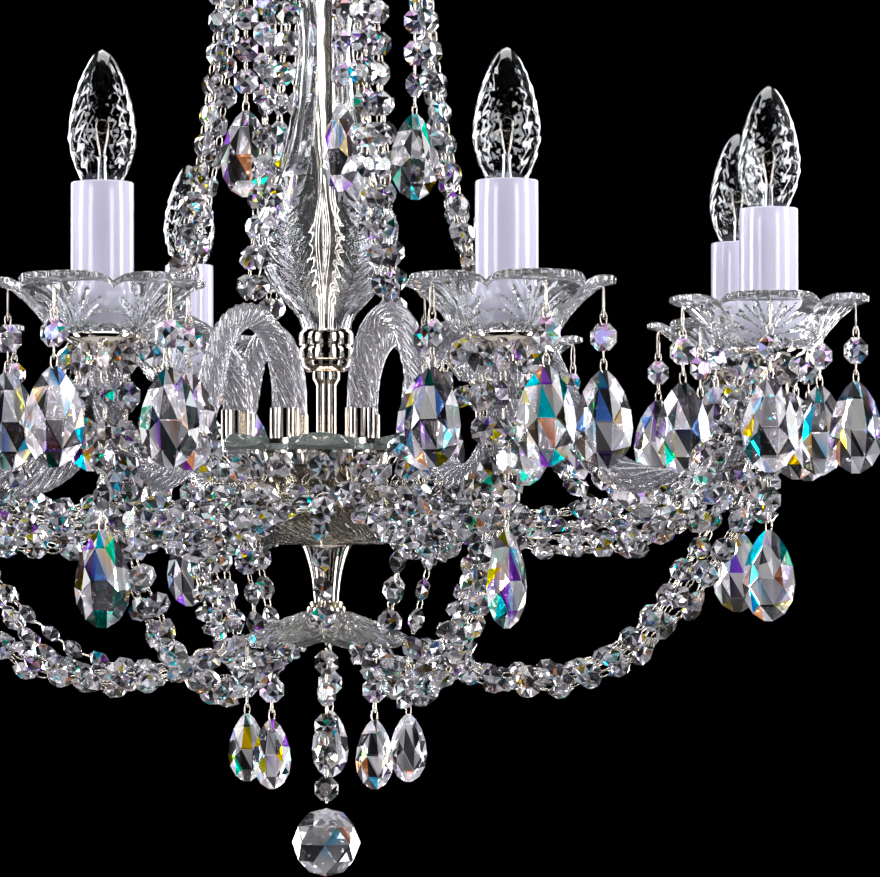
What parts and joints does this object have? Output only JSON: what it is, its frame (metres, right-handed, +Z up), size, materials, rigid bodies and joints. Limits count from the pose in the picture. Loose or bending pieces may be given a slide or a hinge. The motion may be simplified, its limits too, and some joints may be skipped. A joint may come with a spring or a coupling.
{
  "type": "crystal chandelier",
  "caption": "Crystal chandelier: glass arms round a glass and nickel column, with candle lamps, scalloped bobeches, strands of octagons and pear drops.",
  "frame": {"origin": "centre of the hanging eye's hole, on the column's axis", "axes": "+Z up along the column, +Y along the eye's hole, away from a viewer, +X to the viewer's right"},
  "size_m": [0.6026, 0.6026, 0.6527],
  "materials": {
    "nickel": "polished nickel plate on brass and steel",
    "dish_glass": "clear pressed glass, fan cut and fire polished",
    "arm_glass": "clear twisted rope glass",
    "crystal": "clear cut crystal, many pieces with an iridescent coating, on nickel wire",
    "bulb_glass": "clear twisted candle bulb",
    "opal_sleeve": "glossy white candle sleeve",
    "holder_plastic": "moulded thermoset"
  },
  "bodies": {
    "frame": {"hanging_eye": "nickel", "crown_cap": "nickel", "crown_dish": "dish_glass", "vase_cap": "nickel", "column_vase": "dish_glass", "vase_seat": "nickel", "stem_collar": "nickel", "stem": "nickel", "centre_tube": "nickel", "hub_plate": "nickel", "arm_ferrules": "nickel", "hub_dish": "dish_glass", "hub_cup": "nickel", "terminal_block": "holder_plastic", "glass_bowl": "dish_glass", "trumpet": "nickel", "lower_dish": "dish_glass", "bottom_nut": "nickel", "candle_cups": "nickel", "lamp_holders": "holder_plastic", "candle_sleeves": "opal_sleeve", "arm_1": "arm_glass", "arm_2": "arm_glass", "arm_3": "arm_glass", "arm_4": "arm_glass", "arm_5": "arm_glass", "arm_6": "arm_glass", "arm_7": "arm_glass", "arm_8": "arm_glass", "bobeche_1": "dish_glass", "bobeche_2": "dish_glass", "bobeche_3": "dish_glass", "bobeche_4": "dish_glass", "bobeche_5": "dish_glass", "bobeche_6": "dish_glass", "bobeche_7": "dish_glass", "bobeche_8": "dish_glass", "bobeche_drops": "crystal", "arm_drops": "crystal", "crown_drops": "crystal", "top_garlands": "crystal", "ring_garlands": "crystal", "arm_garlands": "crystal", "swag_garlands": "crystal", "basket_chains": "crystal"},
    "bulb_1": {"bulb_1": "bulb_glass"},
    "bulb_2": {"bulb_2": "bulb_glass"},
    "bulb_3": {"bulb_3": "bulb_glass"},
    "bulb_4": {"bulb_4": "bulb_glass"},
    "bulb_5": {"bulb_5": "bulb_glass"},
    "bulb_6": {"bulb_6": "bulb_glass"},
    "bulb_7": {"bulb_7": "bulb_glass"},
    "bulb_8": {"bulb_8": "bulb_glass"},
    "lower_drop_1": {"lower_drop_1": "crystal"},
    "lower_drop_2": {"lower_drop_2": "crystal"},
    "lower_drop_3": {"lower_drop_3": "crystal"},
    "lower_drop_4": {"lower_drop_4": "crystal"},
    "lower_drop_5": {"lower_drop_5": "crystal"},
    "ball_chain": {"ball_chain": "crystal"},
    "crystal_ball": {"crystal_ball": "crystal"}
  },
  "joints": [
    {"name": "bulb_1_lift", "type": "slide", "parent": "frame", "child": "bulb_1", "axis": [0, 0, 1], "range_m": [0, 0.034]},
    {"name": "bulb_2_lift", "type": "slide", "parent": "frame", "child": "bulb_2", "axis": [0, 0, 1], "range_m": [0, 0.034]},
    {"name": "bulb_3_lift", "type": "slide", "parent": "frame", "child": "bulb_3", "axis": [0, 0, 1], "range_m": [0, 0.034]},
    {"name": "bulb_4_lift", "type": "slide", "parent": "frame", "child": "bulb_4", "axis": [0, 0, 1], "range_m": [0, 0.034]},
    {"name": "bulb_5_lift", "type": "slide", "parent": "frame", "child": "bulb_5", "axis": [0, 0, 1], "range_m": [0, 0.034]},
    {"name": "bulb_6_lift", "type": "slide", "parent": "frame", "child": "bulb_6", "axis": [0, 0, 1], "range_m": [0, 0.034]},
    {"name": "bulb_7_lift", "type": "slide", "parent": "frame", "child": "bulb_7", "axis": [0, 0, 1], "range_m": [0, 0.034]},
    {"name": "bulb_8_lift", "type": "slide", "parent": "frame", "child": "bulb_8", "axis": [0, 0, 1], "range_m": [0, 0.034]},
    {"name": "lower_drop_1_swing", "type": "hinge", "parent": "frame", "child": "lower_drop_1", "pos_m": [0, 0.05, -0.50343], "axis": [1, 0, 0], "range_deg": [-12, 35]},
    {"name": "lower_drop_2_swing", "type": "hinge", "parent": "frame", "child": "lower_drop_2", "pos_m": [-0.04755, 0.01545, -0.50343], "axis": [0.309, 0.9511, 0], "range_deg": [-12, 35]},
    {"name": "lower_drop_3_swing", "type": "hinge", "parent": "frame", "child": "lower_drop_3", "pos_m": [-0.02939, -0.04045, -0.50343], "axis": [-0.809, 0.5878, 0], "range_deg": [-12, 35]},
    {"name": "lower_drop_4_swing", "type": "hinge", "parent": "frame", "child": "lower_drop_4", "pos_m": [0.02939, -0.04045, -0.50343], "axis": [-0.809, -0.5878, 0], "range_deg": [-12, 35]},
    {"name": "lower_drop_5_swing", "type": "hinge", "parent": "frame", "child": "lower_drop_5", "pos_m": [0.04755, 0.01545, -0.50343], "axis": [0.309, -0.9511, 0], "range_deg": [-12, 35]},
    {"name": "chain_swing", "type": "hinge", "parent": "frame", "child": "ball_chain", "pos_m": [0, 0, -0.5016], "axis": [1, 0, 0], "range_deg": [-8, 8]},
    {"name": "ball_swing", "type": "hinge", "parent": "ball_chain", "child": "crystal_ball", "pos_m": [0, 0, -0.5977], "axis": [0, 1, 0], "range_deg": [-15, 15]}
  ]
}
